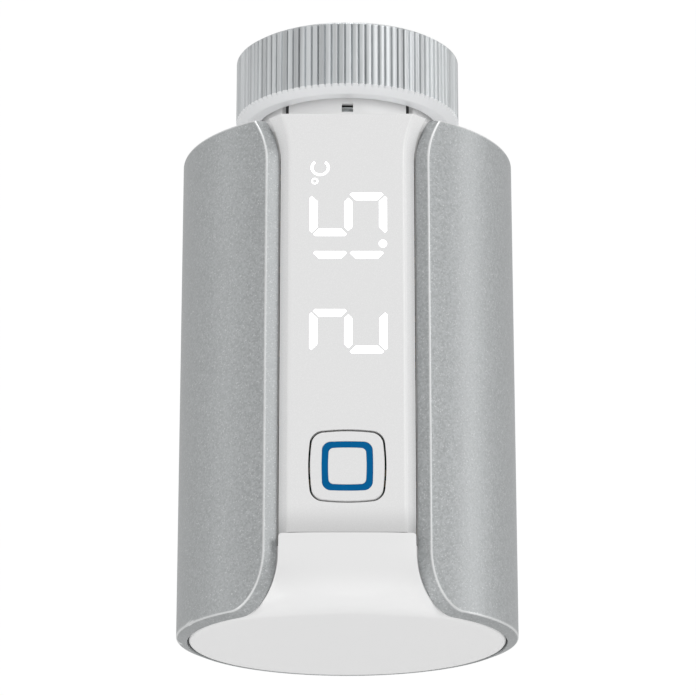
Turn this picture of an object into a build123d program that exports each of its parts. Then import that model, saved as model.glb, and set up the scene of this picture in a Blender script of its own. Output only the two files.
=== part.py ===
from build123d import *

import math
import os

# Electronic radiator thermostat head: a battery-driven actuator that screws onto a radiator valve.
# Millimetres. The origin is the centre of the union nut's mouth, +Z points out of the nut towards
# the valve, and the display faces -Y. The body hangs from the nut down to the battery cover.

# Outer sleeve
SLEEVE_R = 26.5
SLEEVE_WALL = 1.7
SLEEVE_LENGTH = 77.6
SLEEVE_TOP = -18.5
BASE = SLEEVE_TOP - SLEEVE_LENGTH      # level of the sleeve's outer bottom edge
RIM_DROP = 0.7                         # the bevelled rim's inner edge stands this much lower
SLOT_INNER = 10.5                      # half width of the front slot at the bore
SLOT_OUTER = 12.5                      # half width at the outer skin
SLOT_FLARE = 7.0                       # radius of the slot's flare into the bottom rim
BORE_R = SLEEVE_R - SLEEVE_WALL

# Front strip: the display panel above, the battery cover's tongue below
FRONT_Y = -24.8
STRIP_HALF = 10.3
STRIP_FLAT = 8.8
STRIP_WALL = 1.5
STRIP_DEPTH = 2.5
SPLIT_Z = BASE + 11.0                  # parting line between cover and panel
SPLIT_GAP = 0.2

# Button
BUTTON_Z = BASE + 21.2
BUTTON_W = 11.7
BUTTON_H = 11.3
BUTTON_CORNER = 2.3
BUTTON_GAP = 0.2
BUTTON_FLANGE = 0.9
RING_OUTER = 7.6
RING_INNER = 5.8
RING_DEPTH = 1.0

# Battery cover
COVER_R = BORE_R - 0.4
COVER_FLOOR = 1.8
COVER_SKIRT = 9.2
COVER_WALL = 1.2
ARM_TOP = BASE + 13.0
BEAD_Z = (BASE + 11.2, BASE + 12.2)     # bead on each snap arm
COVER_NOSE_R = 3.5

# Housing halves and top cap
HOUSING_R = BORE_R - 0.2
HOUSING_WALL = 1.4
HOUSING_BORE = HOUSING_R - HOUSING_WALL
HOUSING_BOTTOM = BASE + 9.6
TOP_CAP_THICK = 1.8
CAP_BORE = 12.5
HOUSING_TOP = SLEEVE_TOP - TOP_CAP_THICK

# Union nut, M30 x 1.5 on the valve side
NUT_R = 18.1
NUT_HEIGHT = 11.9
NUT_TEETH = 105
KNURL_DEPTH = 0.4
THREAD_MINOR_R = 14.19
THREAD_END = -8.9
GROOVE_R = 15.7
LIP_R = 14.7
LIP_TOP = -10.7

# Mounting collar with four snap fingers
COLLAR_R = 14.0
COLLAR_BORE = 12.4
COLLAR_SEAT = -9.0
SEAT_R = 13.9                          # outer radius of the flat seat, inside the thread
BARB_R = 15.3
GUIDE_R = 6.6
GUIDE_WALL = 2.0
GUIDE_TOP = -13.0
FINGER_SLOT = 1.5
WINDOW_W = 1.8
WINDOW_LOW = -13.9
WINDOW_HIGH = -12.5

# Push plunger and its drive
PLUNGER_TIP = -14.5
PLUNGER_HEAD = 4.5
SHANK_R = 3.0
SHANK_END = -33.0
RUNNING = 0.05                         # radial clearance of every running fit
FINE_MODULE = 0.4
SPINDLE_MODULE = 0.5
PINION_TEETH = 12
GEAR_1_TEETH = 40
GEAR_2_TEETH = 36
SPINDLE_TEETH = 48
AXLE_R = 0.75
HUB_R = 4.6
FRAME_R = 22.8
UPPER_PLATE = (-22.3, -20.8)
LOWER_PLATE = (-36.0, -34.5)

# Batteries, size AA
CELL_R = 7.25
CELL_LENGTH = 50.5
CELL_NUB = 1.0
CELL_X = 7.6
CELL_Y = 13.0
CELL_BOTTOM = BASE + 3.2
CELL_TOP = CELL_BOTTOM + CELL_LENGTH

# Circuit board
BOARD_Y = -16.9
BOARD_THICK = 1.0
BOARD_HALF = 14.0
BOARD_Z = (BASE + 6.8, -24.5)

# Motor
MOTOR_R = 6.0
MOTOR_LENGTH = 20.0
MOTOR_SHAFT_R = 0.5

# Gear centres: the spindle is on the axis, gear 1 to the right, gear 2 behind it, the motor in front.
GEAR_2_DISTANCE = SPINDLE_MODULE * (SPINDLE_TEETH + PINION_TEETH) / 2
GEAR_12_DISTANCE = FINE_MODULE * (GEAR_2_TEETH + PINION_TEETH) / 2
GEAR_1M_DISTANCE = FINE_MODULE * (GEAR_1_TEETH + PINION_TEETH) / 2
GEAR_1_RADIUS = 13.6
MOTOR_RADIUS = 9.0


def angle_between(side_a, side_b, opposite):
    """Angle in degrees between two sides of a triangle, from the side opposite to it."""
    return math.degrees(math.acos((side_a**2 + side_b**2 - opposite**2) / (2 * side_a * side_b)))


def polar(radius, degrees):
    return (radius * math.cos(math.radians(degrees)), radius * math.sin(math.radians(degrees)))


GEAR_1_XY = polar(GEAR_1_RADIUS, 0)
GEAR_2_XY = polar(GEAR_2_DISTANCE, angle_between(GEAR_1_RADIUS, GEAR_2_DISTANCE, GEAR_12_DISTANCE))
MOTOR_XY = polar(MOTOR_RADIUS, -angle_between(GEAR_1_RADIUS, MOTOR_RADIUS, GEAR_1M_DISTANCE))


# ---------------------------------------------------------------- helpers

def rod(radius, low, high, at=(0, 0)):
    """Cylinder along Z between two levels."""
    base = (Align.CENTER, Align.CENTER, Align.MIN)
    return Pos(at[0], at[1], low) * Cylinder(radius, high - low, align=base)


def cross_rod(radius, y_front, y_back, x, z):
    """Cylinder along Y between two depths."""
    base = (Align.CENTER, Align.CENTER, Align.MIN)
    return Pos(x, y_front, z) * Rot(-90, 0, 0) * Cylinder(radius, y_back - y_front, align=base)


def cross_tube(outer, inner, y_front, y_back, x, z):
    return cross_rod(outer, y_front, y_back, x, z) - cross_rod(inner, y_front - 1, y_back + 1, x, z)


def tube(outer, inner, low, high, at=(0, 0)):
    return rod(outer, low, high, at) - rod(inner, low - 1, high + 1, at)


def block(x0, x1, y0, y1, z0, z1):
    size = Box(x1 - x0, y1 - y0, z1 - z0)
    return Pos((x0 + x1) / 2, (y0 + y1) / 2, (z0 + z1) / 2) * size


def turned(points):
    """Solid of revolution about Z from (radius, level) points."""
    face = make_face(Polyline([(r, 0, z) for r, z in points], close=True))
    return revolve(face, Axis.Z)


def prism(points, low, high):
    """Upright prism from (x, y) points."""
    face = make_face(Polyline([(x, y, low) for x, y in points], close=True))
    return extrude(face, high - low, dir=(0, 0, 1))


def front_plate(points, y_front, y_back):
    """Plate facing -Y from (x, z) points."""
    face = make_face(Polyline([(x, y_front, z) for x, z in points], close=True))
    return extrude(face, y_back - y_front, dir=(0, 1, 0))


def rounded_plate(width, height, corner, y_front, y_back, z):
    """Rounded rectangle facing -Y, centred on the panel's middle line."""
    plane = Plane(origin=(0, y_front, z), x_dir=(1, 0, 0), z_dir=(0, -1, 0))
    return extrude(plane * RectangleRounded(width, height, corner), y_front - y_back)


def save(name, shape):
    export_step(Compound(children=list(shape.solids())) if len(shape.solids()) > 1 else
                shape.solids()[0], f"parts/{name}.step")


def save_group(name, shapes):
    export_step(Compound(children=[s for shape in shapes for s in shape.solids()]),
                f"parts/{name}.step")


# ---------------------------------------------------------------- casing

def slot_cutter():
    """Front slot of the sleeve: bevelled along its sides, flared into the bottom rim."""
    slope = (SLOT_OUTER - SLOT_INNER) / 0.95
    inner_y = -math.sqrt(BORE_R**2 - SLOT_INNER**2)
    far = SLOT_INNER + 6 * slope
    sides = prism([(-SLOT_INNER, inner_y + 4), (SLOT_INNER, inner_y + 4), (SLOT_INNER, inner_y),
                   (far, inner_y - 6), (-far, inner_y - 6), (-SLOT_INNER, inner_y)],
                  BASE + SLOT_FLARE + 2, SLEEVE_TOP + 5)
    half = (SLOT_INNER + SLOT_OUTER) / 2
    y_front = -SLEEVE_R - 3
    low = BASE - RIM_DROP - 1
    opening = block(-half, half, y_front, -17, low, SLEEVE_TOP + 5)
    for side in (-1, 1):
        near, out = side * half, side * (half + SLOT_FLARE)
        corner = block(min(near, out), max(near, out), y_front, -17, low, BASE + SLOT_FLARE)
        opening += corner - cross_rod(SLOT_FLARE, y_front, -17, out, BASE + SLOT_FLARE)
    return sides + opening


def outer_sleeve():
    edge = 0.3
    shell = turned([(BORE_R, BASE - RIM_DROP), (SLEEVE_R, BASE), (SLEEVE_R, SLEEVE_TOP - edge),
                    (SLEEVE_R - edge, SLEEVE_TOP), (BORE_R, SLEEVE_TOP)])
    return shell - slot_cutter()


def front_strip(low, high):
    """Channel with a flat front and canted flanks, shared by the panel and the cover's tongue."""
    back = FRONT_Y + STRIP_DEPTH
    shoulder = FRONT_Y + 1.1
    rim = STRIP_HALF - STRIP_WALL
    wall = FRONT_Y + STRIP_WALL
    return prism([(-STRIP_FLAT, FRONT_Y), (STRIP_FLAT, FRONT_Y), (STRIP_HALF, shoulder),
                  (STRIP_HALF, back), (rim, back), (rim, wall), (-rim, wall), (-rim, back),
                  (-STRIP_HALF, back), (-STRIP_HALF, shoulder)], low, high)


def display_panel():
    hole = rounded_plate(BUTTON_W, BUTTON_H, BUTTON_CORNER, FRONT_Y - 1, FRONT_Y + 4, BUTTON_Z)
    web = block(-STRIP_FLAT, STRIP_FLAT, FRONT_Y + STRIP_WALL, FRONT_Y + STRIP_DEPTH,
                SLEEVE_TOP - STRIP_WALL, SLEEVE_TOP)
    return front_strip(SPLIT_Z + SPLIT_GAP / 2, SLEEVE_TOP) + web - hole


def battery_cover():
    low = BASE - RIM_DROP
    floor = BASE - RIM_DROP + COVER_FLOOR
    body = rod(COVER_R, low, floor) + tube(COVER_R, COVER_R - COVER_WALL, floor, BASE + COVER_SKIRT)
    body += front_strip(low, SPLIT_Z - SPLIT_GAP / 2)
    for side in (-1, 1):
        arm = block(20.6, 22.4, -2.5, 2.5, floor - 0.5, ARM_TOP)
        bead = block(22.3, 22.8, -2.5, 2.5, *BEAD_Z)
        body += Rot(0, 0, 0 if side > 0 else 180) * (arm + bead)
    nose = rod(COVER_NOSE_R, -40, 40)
    nose = Pos(0, FRONT_Y + COVER_NOSE_R, low + COVER_NOSE_R) * Rot(0, 90, 0) * nose
    corner = block(-40, 40, FRONT_Y - 1, FRONT_Y + COVER_NOSE_R, low - 1, low + COVER_NOSE_R)
    return body - (corner - nose)


def half_shell(side):
    shell = tube(HOUSING_R, HOUSING_BORE, HOUSING_BOTTOM, HOUSING_TOP)
    y0, y1 = (-40, 0) if side == "front" else (0, 40)
    return shell & block(-40, 40, y0, y1, HOUSING_BOTTOM - 1, HOUSING_TOP + 1)


HOUSING_SCREW_X = 20.6
HOUSING_SCREW_Z = BASE + 34
BOARD_SCREW_X = 12.3
BOARD_SCREW_Z = (BASE + 13, -30.0)
WINDOW_DEPTH_Y = -20.4                 # the window in the front housing is cut back to here
BRIDGE_Z = ((BASE + 29.5, BASE + 35.5), (BASE + 71.3, HOUSING_TOP))

BRIDGE_HALF = 12.5


def front_housing():
    shell = half_shell("front")
    window = STRIP_HALF + 0.1
    shell -= block(-window, window, -30, WINDOW_DEPTH_Y, HOUSING_BOTTOM - 1, HOUSING_TOP + 1)
    inside = rod(HOUSING_R - 0.6, HOUSING_BOTTOM, HOUSING_TOP)
    for low, high in BRIDGE_Z:
        bridge = block(-BRIDGE_HALF, BRIDGE_HALF, FRONT_Y + STRIP_DEPTH + 0.1, WINDOW_DEPTH_Y + 0.4,
                       low, high)
        shell += bridge & inside
    for side in (-1, 1):
        x0, x1 = sorted((side * 18.2, side * 23.8))
        boss = block(x0, x1, -6, 0, HOUSING_SCREW_Z - 2.4, HOUSING_SCREW_Z + 2.4) & inside
        shell += boss - cross_rod(1.0, -5, 1, side * HOUSING_SCREW_X, HOUSING_SCREW_Z)
        for z in BOARD_SCREW_Z:
            x0, x1 = sorted((side * 10.6, side * 17.5))
            rib = block(x0, x1, BOARD_Y - 2.6, BOARD_Y, z - 2.5, z + 2.5) & inside
            shell += rib - cross_rod(0.9, BOARD_Y - 2.0, BOARD_Y + 1, side * BOARD_SCREW_X, z)
    return shell


def rear_housing():
    shell = half_shell("rear")
    inside = rod(HOUSING_R - 0.6, HOUSING_BOTTOM, HOUSING_TOP)
    for side in (-1, 1):
        x0, x1 = sorted((side * 18.2, side * 23.8))
        boss = block(x0, x1, 0, 4, HOUSING_SCREW_Z - 2.4, HOUSING_SCREW_Z + 2.4) & inside
        shell += boss - cross_rod(1.0, -1, 5, side * HOUSING_SCREW_X, HOUSING_SCREW_Z)
    return shell


def screw(shank_r, head_r, head, length):
    """Pan-head screw along Z, its head below and its shank rising from level zero."""
    recess = block(-head_r * 0.6, head_r * 0.6, -0.2, 0.2, -head, -head * 0.5)
    recess += block(-0.2, 0.2, -head_r * 0.6, head_r * 0.6, -head, -head * 0.5)
    return rod(head_r, -head, 0) + rod(shank_r, 0, length) - recess


def housing_screws():
    pan = screw(1.0, 2.0, 1.2, 8.5)
    return [Pos(side * HOUSING_SCREW_X, 4, HOUSING_SCREW_Z) * Rot(90, 0, 0) * pan for side in (-1, 1)]


COLLAR_SCREW_R = 16.2
COLLAR_SCREW_XY = [polar(COLLAR_SCREW_R, angle) for angle in (75, 197.5, 315)]


def top_cap():
    """White lid over the housing: the collar stands on it and the panel runs up in front of it."""
    lid = rod(HOUSING_R, HOUSING_TOP, SLEEVE_TOP) - rod(CAP_BORE, HOUSING_TOP - 1, SLEEVE_TOP + 1)
    front = FRONT_Y + STRIP_DEPTH + 0.2
    lid -= block(-STRIP_HALF - 0.1, STRIP_HALF + 0.1, -30, front, HOUSING_TOP - 1, SLEEVE_TOP + 1)
    for at in COLLAR_SCREW_XY:
        lid -= rod(1.0, HOUSING_TOP - 1, SLEEVE_TOP + 1, at)
    return lid


# ---------------------------------------------------------------- valve connection

def union_nut():
    body = turned([(THREAD_MINOR_R, THREAD_END), (THREAD_MINOR_R, 0), (17.5, 0),
                   (NUT_R, -0.6), (NUT_R, -10.8), (16.7, -NUT_HEIGHT), (LIP_R, -NUT_HEIGHT),
                   (LIP_R, LIP_TOP), (GROOVE_R, LIP_TOP), (GROOVE_R, THREAD_END)])
    pitch = 360 / NUT_TEETH
    outline = []
    for tooth in range(NUT_TEETH):
        outline.append(polar(NUT_R + 0.02, (tooth - 0.32) * pitch))
        outline.append(polar(NUT_R + 0.02, (tooth + 0.32) * pitch))
        outline.append(polar(NUT_R - KNURL_DEPTH, (tooth + 0.5) * pitch))
    return body & prism(outline, -NUT_HEIGHT - 1, 1)


def mounting_collar():
    foot = SLEEVE_TOP
    floor = foot + 1.6
    body = turned([(GUIDE_R, foot), (20.0, foot), (20.0, foot + 0.5), (17.2, floor), (COLLAR_R, floor),
                   (COLLAR_R, -10.45), (BARB_R, -10.45), (BARB_R, -9.7), (SEAT_R, COLLAR_SEAT),
                   (COLLAR_BORE, COLLAR_SEAT), (COLLAR_BORE, floor), (GUIDE_R + GUIDE_WALL, floor),
                   (GUIDE_R + GUIDE_WALL, GUIDE_TOP), (GUIDE_R, GUIDE_TOP)])
    for quarter in range(4):
        slot = block(COLLAR_BORE - 0.5, 17, -FINGER_SLOT / 2, FINGER_SLOT / 2, -16.2, 0)
        body -= Rot(0, 0, 45 + 90 * quarter) * slot
        window = block(COLLAR_BORE - 0.5, 17, -WINDOW_W / 2, WINDOW_W / 2, WINDOW_LOW, WINDOW_HIGH)
        body -= Rot(0, 0, 90 * quarter) * window
    body -= block(-7.8, 7.8, -0.95, 0.95, foot - 1, 0)
    for at in COLLAR_SCREW_XY:
        body -= rod(1.0, foot - 1, foot + 1.2, at)
    return body


def collar_screws():
    pan = screw(1.0, 1.9, 0.45, 2.9)
    return [Pos(at[0], at[1], HOUSING_TOP) * pan for at in COLLAR_SCREW_XY]


def push_plunger():
    """Threaded shank driven by the spindle gear; two keys on the head stop it from turning."""
    head_r = GUIDE_R - RUNNING
    low = PLUNGER_TIP - PLUNGER_HEAD
    body = rod(head_r, low, PLUNGER_TIP - 0.5) + rod(head_r - 0.5, PLUNGER_TIP - 1, PLUNGER_TIP)
    body += rod(SHANK_R, SHANK_END, low)
    return body + block(-7.5, 7.5, -0.75, 0.75, low, PLUNGER_TIP - 1)


# ---------------------------------------------------------------- gear train

def involute(angle):
    return math.tan(angle) - angle


def gear_prism(module, teeth, low, high, at, tooth_at):
    """Spur gear with straight-sided involute teeth, one tooth pointing along tooth_at degrees."""
    pitch_r = module * teeth / 2
    pressure = math.radians(20)
    base_r = pitch_r * math.cos(pressure)
    root_r = pitch_r - 1.2 * module
    tip_r = pitch_r + 0.8 * module
    half = math.pi / (2 * teeth) * 0.88
    flank = []
    for radius in (root_r, max(root_r, base_r), pitch_r, tip_r):
        reach = math.acos(min(1.0, base_r / max(radius, base_r)))
        flank.append((radius, math.degrees(half + involute(pressure) - involute(reach))))
    if root_r >= base_r:
        flank.pop(1)
    outline = []
    for tooth in range(teeth):
        middle = tooth_at + tooth * 360 / teeth
        outline += [polar(radius, middle - spread) for radius, spread in flank]
        outline += [polar(radius, middle + spread) for radius, spread in reversed(flank)]
    return Pos(at[0], at[1], 0) * prism(outline, low, high)


def direction(start, end):
    return math.degrees(math.atan2(end[1] - start[1], end[0] - start[0]))


def gap_towards(start, end, teeth):
    """Angle of a tooth on the gear at start so that a gap faces the gear at end."""
    return direction(start, end) + 180 / teeth


CENTRE = (0, 0)
LEVEL_SPINDLE = (-26.8, -23.3)
LEVEL_GEAR_2 = (-30.0, -28.2)
LEVEL_GEAR_1 = (-33.0, -31.2)


def spindle_gear():
    wheel = gear_prism(SPINDLE_MODULE, SPINDLE_TEETH, *LEVEL_SPINDLE, CENTRE,
                       gap_towards(CENTRE, GEAR_2_XY, SPINDLE_TEETH))
    hub = rod(HUB_R, LOWER_PLATE[1] + 0.55, UPPER_PLATE[1] - 0.2)
    recess = tube(10.4, HUB_R + 1.4, LEVEL_SPINDLE[1] - 1.0, LEVEL_SPINDLE[1] + 1)
    return wheel + hub - recess - rod(SHANK_R + RUNNING, -40, -10)


def gear_2():
    small = gear_prism(SPINDLE_MODULE, PINION_TEETH, LEVEL_GEAR_2[1], LEVEL_SPINDLE[1] + 0.2,
                       GEAR_2_XY, direction(GEAR_2_XY, CENTRE))
    large = gear_prism(FINE_MODULE, GEAR_2_TEETH, *LEVEL_GEAR_2, GEAR_2_XY,
                       gap_towards(GEAR_2_XY, GEAR_1_XY, GEAR_2_TEETH))
    return small + large - rod(AXLE_R + RUNNING, -40, -10, GEAR_2_XY)


def gear_1():
    small = gear_prism(FINE_MODULE, PINION_TEETH, LEVEL_GEAR_1[1], LEVEL_GEAR_2[1] + 0.2,
                       GEAR_1_XY, direction(GEAR_1_XY, GEAR_2_XY))
    large = gear_prism(FINE_MODULE, GEAR_1_TEETH, *LEVEL_GEAR_1, GEAR_1_XY,
                       gap_towards(GEAR_1_XY, MOTOR_XY, GEAR_1_TEETH))
    return small + large - rod(AXLE_R + RUNNING, -40, -10, GEAR_1_XY)


def motor_pinion():
    gear = gear_prism(FINE_MODULE, PINION_TEETH, LEVEL_GEAR_1[0] - 0.2, LEVEL_GEAR_1[1] + 0.2,
                      MOTOR_XY, direction(MOTOR_XY, GEAR_1_XY))
    return gear - rod(MOTOR_SHAFT_R, -40, -10, MOTOR_XY)


def motor_shaft():
    return rod(MOTOR_SHAFT_R, LOWER_PLATE[0] - 4, LEVEL_GEAR_1[1] + 0.2, MOTOR_XY)


def motor():
    front = LOWER_PLATE[0]
    can = rod(MOTOR_R, front - MOTOR_LENGTH, front, MOTOR_XY) + rod(2.0, front, front + 1.2, MOTOR_XY)
    can -= rod(MOTOR_SHAFT_R + RUNNING, front - 5, front + 2, MOTOR_XY)
    can += rod(5.2, front - MOTOR_LENGTH - 1.0, front - MOTOR_LENGTH, MOTOR_XY)
    for side in (-1, 1):
        x, y = MOTOR_XY[0] + side * 3.2, MOTOR_XY[1]
        low = front - MOTOR_LENGTH - 3.2
        can += block(x - 0.25, x + 0.25, y - 1.1, y + 1.1, low, front - MOTOR_LENGTH - 1.0)
    return can


def motor_contacts():
    """Two sprung blades that carry current from the board to the motor's terminals."""
    blades = []
    for side in (-1, 1):
        x, y = MOTOR_XY[0] + side * 3.2, MOTOR_XY[1]
        z = LOWER_PLATE[0] - MOTOR_LENGTH - 2.2
        foot = block(x - 1.1, x + 1.1, BOARD_Y + BOARD_THICK, BOARD_Y + BOARD_THICK + 0.3, z - 2, z + 2)
        arm = block(x - 1.1, x + 1.1, BOARD_Y + BOARD_THICK + 0.3, y - 1.1, z - 0.15, z + 0.15)
        blades.append(foot + arm)
    return blades


def gear_axles():
    low, high = LOWER_PLATE[0] + 0.3, UPPER_PLATE[1] - 0.3
    return [rod(AXLE_R, low, high, at) for at in (GEAR_1_XY, GEAR_2_XY)]


POST_R = 19.5
POST_XY = [polar(POST_R, angle) for angle in (110, 180, 215)]


def gear_frame_upper():
    plate = rod(FRAME_R, *UPPER_PLATE) - block(-30, 30, -30, -14.6, -40, 0)
    plate -= rod(HUB_R + RUNNING, -40, 0)
    for at in (GEAR_1_XY, GEAR_2_XY):
        plate -= rod(AXLE_R, UPPER_PLATE[0] - 1, UPPER_PLATE[1] - 0.3, at)
    for at in POST_XY:
        plate -= rod(1.0, -40, 0, at)
    return plate


def gear_frame_lower():
    plate = rod(FRAME_R, *LOWER_PLATE) - block(-30, 30, -30, -14.6, -40, 0)
    for at in POST_XY:
        plate += rod(2.4, LOWER_PLATE[1] - 0.5, UPPER_PLATE[0], at) - rod(1.0, -30, 0, at)
    for at in (GEAR_1_XY, GEAR_2_XY):
        plate -= rod(AXLE_R, LOWER_PLATE[0] + 0.3, -30, at)
    return plate - rod(2.2, -40, -30, MOTOR_XY)


def frame_screws():
    pan = Rot(180, 0, 0) * screw(1.0, 1.6, 0.45, 6.5)
    return [Pos(at[0], at[1], UPPER_PLATE[1]) * pan for at in POST_XY]


def thrust_washer():
    return tube(4.5, 3.3, LOWER_PLATE[1], LOWER_PLATE[1] + 0.5)


# ---------------------------------------------------------------- batteries and contacts

def battery(x, nub_up):
    low = CELL_BOTTOM if nub_up else CELL_BOTTOM + CELL_NUB
    can = rod(CELL_R, low, low + CELL_LENGTH - CELL_NUB, (x, CELL_Y))
    tip = (CELL_TOP - CELL_NUB, CELL_TOP) if nub_up else (CELL_BOTTOM, CELL_BOTTOM + CELL_NUB)
    return can + rod(2.75, *tip, (x, CELL_Y))


TRAY_TOP = CELL_TOP + 3.0


def battery_tray():
    """Cradle with two troughs and a top wall that carries the upper contacts."""
    inside = rod(HOUSING_BORE - 0.2, CELL_BOTTOM, TRAY_TOP)
    cradle = block(-15.4, 15.4, 4.4, 11.0, CELL_BOTTOM + 0.5, TRAY_TOP)
    cradle += block(-17.5, 17.5, 4.4, 22.6, TRAY_TOP - 1.5, TRAY_TOP)
    for x in (-CELL_X, CELL_X):
        cradle -= rod(CELL_R + 0.25, CELL_BOTTOM - 1, TRAY_TOP - 1.5, (x, CELL_Y))
    return cradle & inside


def coil(radius, wire, low, high, turns, at):
    """Compression spring of round wire with its axis along Z."""
    path = Helix(pitch=(high - low - 2 * wire) / turns, height=high - low - 2 * wire, radius=radius)
    start = path @ 0
    section = Plane(origin=start, z_dir=path % 0) * Circle(wire)
    return Pos(at[0], at[1], low + wire) * sweep(section, path=path, is_frenet=True)


def cover_bridge_contact():
    low = BASE - RIM_DROP + COVER_FLOOR
    strip = block(-12, 12, CELL_Y - 4, CELL_Y + 4, low, low + 0.4)
    return strip + rod(3.0, low + 0.4, CELL_BOTTOM, (CELL_X, CELL_Y))


def cover_contact_spring():
    low = BASE - RIM_DROP + COVER_FLOOR + 0.4
    return coil(3.0, 0.3, low, CELL_BOTTOM, 2, (-CELL_X, CELL_Y))


def top_contact_plus():
    high = TRAY_TOP - 1.5
    plate = block(-CELL_X - 4, -CELL_X + 4, CELL_Y - 4, CELL_Y + 4, high - 0.4, high)
    return plate + rod(2.0, CELL_TOP, high - 0.4, (-CELL_X, CELL_Y))


def top_contact_minus():
    high = TRAY_TOP - 1.5
    return block(CELL_X - 4, CELL_X + 4, CELL_Y - 4, CELL_Y + 4, high - 0.4, high)


def top_contact_spring():
    return coil(3.0, 0.25, CELL_TOP, TRAY_TOP - 1.9, 1, (CELL_X, CELL_Y))


# ---------------------------------------------------------------- display, button and board

DIGIT_LEFT = -5.7                      # digits read upwards: their top points to -X
DIGIT_RIGHT = 6.0
DIGIT_MIDDLE = 0.1
DIGIT_CENTRES = (BASE + 61.1, BASE + 51.6, BASE + 42.3)
DIGIT_HALF = 2.9
STROKE = 1.3


def bar(x0, x1, z0, z1):
    """Display segment with pointed ends along its longer side."""
    half = STROKE / 2
    if x1 - x0 > z1 - z0:
        z = (z0 + z1) / 2
        return [(x0, z), (x0 + half, z - half), (x1 - half, z - half), (x1, z), (x1 - half, z + half),
                (x0 + half, z + half)]
    x = (x0 + x1) / 2
    return [(x, z0), (x + half, z0 + half), (x + half, z1 - half), (x, z1), (x - half, z1 - half),
            (x - half, z0 + half)]


def segment_lights():
    """Lens bars of three seven-segment digits, a decimal point, a degree ring and a unit sign."""
    front, back = FRONT_Y + STRIP_WALL, FRONT_Y + STRIP_DEPTH + 0.1
    inset = 0.55
    bars = []
    for middle in DIGIT_CENTRES:
        low, high = middle - DIGIT_HALF, middle + DIGIT_HALF
        for x in (DIGIT_LEFT + STROKE / 2, DIGIT_MIDDLE, DIGIT_RIGHT - STROKE / 2):
            bars.append(bar(x - STROKE / 2, x + STROKE / 2, low + inset, high - inset))
        for x0, x1 in ((DIGIT_LEFT, DIGIT_MIDDLE), (DIGIT_MIDDLE, DIGIT_RIGHT)):
            gap = inset + STROKE / 2
            for z in (low, high):
                bars.append(bar(x0 + gap, x1 - gap, z - STROKE / 2, z + STROKE / 2))
    solids = [front_plate(points, front, back) for points in bars]
    solids.append(cross_rod(0.65, front, back, 5.4, BASE + 56.3))
    solids.append(cross_tube(0.55, 0.28, front, back, -5.0, BASE + 66.6))
    sign = cross_tube(1.5, 0.95, front, back, -4.2, BASE + 68.6)
    solids.append(sign - block(-5.2, -3.2, front - 1, back + 1, BASE + 69.0, BASE + 71))
    return solids


def display_module():
    face = FRONT_Y + STRIP_DEPTH + 0.1
    return block(-7.4, 7.4, face, BOARD_Y, BASE + 36.5, BASE + 71.0)


def button_outline(margin, y_front, y_back):
    return rounded_plate(BUTTON_W - 2 * margin, BUTTON_H - 2 * margin, BUTTON_CORNER - margin / 2,
                         y_front, y_back, BUTTON_Z)


STEM_END = BOARD_Y - 4.3


def ring_solid(y_front, y_back):
    outer = rounded_plate(RING_OUTER, RING_OUTER, 1.0, y_front, y_back, BUTTON_Z)
    inner = rounded_plate(RING_INNER, RING_INNER, 0.4, y_front - 1, y_back + 1, BUTTON_Z)
    return outer - inner


def system_button():
    wall_back = FRONT_Y + STRIP_WALL
    cap = button_outline(BUTTON_GAP, FRONT_Y, wall_back + 0.1)
    flange = button_outline(-BUTTON_FLANGE, wall_back + 0.1, wall_back + 0.9)
    stem = cross_rod(1.8, wall_back + 0.5, STEM_END, 0, BUTTON_Z)
    return cap + flange + stem - ring_solid(FRONT_Y, FRONT_Y + RING_DEPTH)


def button_light_ring():
    return ring_solid(FRONT_Y, FRONT_Y + RING_DEPTH)


SWITCH_BORE = 1.6


def tact_switch():
    case = block(-3.1, 3.1, BOARD_Y - 3.4, BOARD_Y, BUTTON_Z - 3.1, BUTTON_Z + 3.1)
    return case - cross_rod(SWITCH_BORE, BOARD_Y - 4, BOARD_Y - 0.8, 0, BUTTON_Z)


def switch_plunger():
    return cross_rod(SWITCH_BORE - RUNNING, STEM_END, BOARD_Y - 1.6, 0, BUTTON_Z)


def main_board():
    board = block(-BOARD_HALF, BOARD_HALF, BOARD_Y, BOARD_Y + BOARD_THICK, *BOARD_Z)
    for side in (-1, 1):
        for z in BOARD_SCREW_Z:
            board -= cross_rod(1.0, BOARD_Y - 1, BOARD_Y + 2, side * BOARD_SCREW_X, z)
    return board


def board_screws():
    pan = screw(0.9, 1.6, 1.0, 2.6)
    back = BOARD_Y + BOARD_THICK
    return [Pos(side * BOARD_SCREW_X, back, z) * Rot(90, 0, 0) * pan
            for side in (-1, 1) for z in BOARD_SCREW_Z]


def controller_chip():
    back = BOARD_Y + BOARD_THICK
    return block(-9.5, -2.5, back, back + 1.0, BASE + 47, BASE + 54)


def radio_module():
    back = BOARD_Y + BOARD_THICK
    base = block(-7, 7, back, back + 0.8, BASE + 12, BASE + 28)
    return base + block(-6, 6, back + 0.8, back + 2.6, BASE + 15.5, BASE + 27)


def antenna():
    """Stiff radio aerial: a foot on the board and a straight wire up along the housing."""
    y = BOARD_Y + BOARD_THICK + 2.0
    foot = cross_rod(0.4, BOARD_Y + BOARD_THICK, y + 0.4, -10.0, BASE + 16)
    return foot + rod(0.4, BASE + 16, BASE + 46, (-10.0, y))


def temperature_sensor():
    back = BOARD_Y + BOARD_THICK
    bead = block(6.0, 8.4, back + 0.3, back + 2.0, BASE + 8, BASE + 10.4)
    return bead + block(6.4, 8.0, back, back + 0.3, BASE + 7.6, BASE + 10.8)


def board_capacitor():
    back = BOARD_Y + BOARD_THICK
    return cross_rod(2.5, back, back + 6.0, -6.5, BASE + 33)


# ---------------------------------------------------------------- write every node

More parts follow.
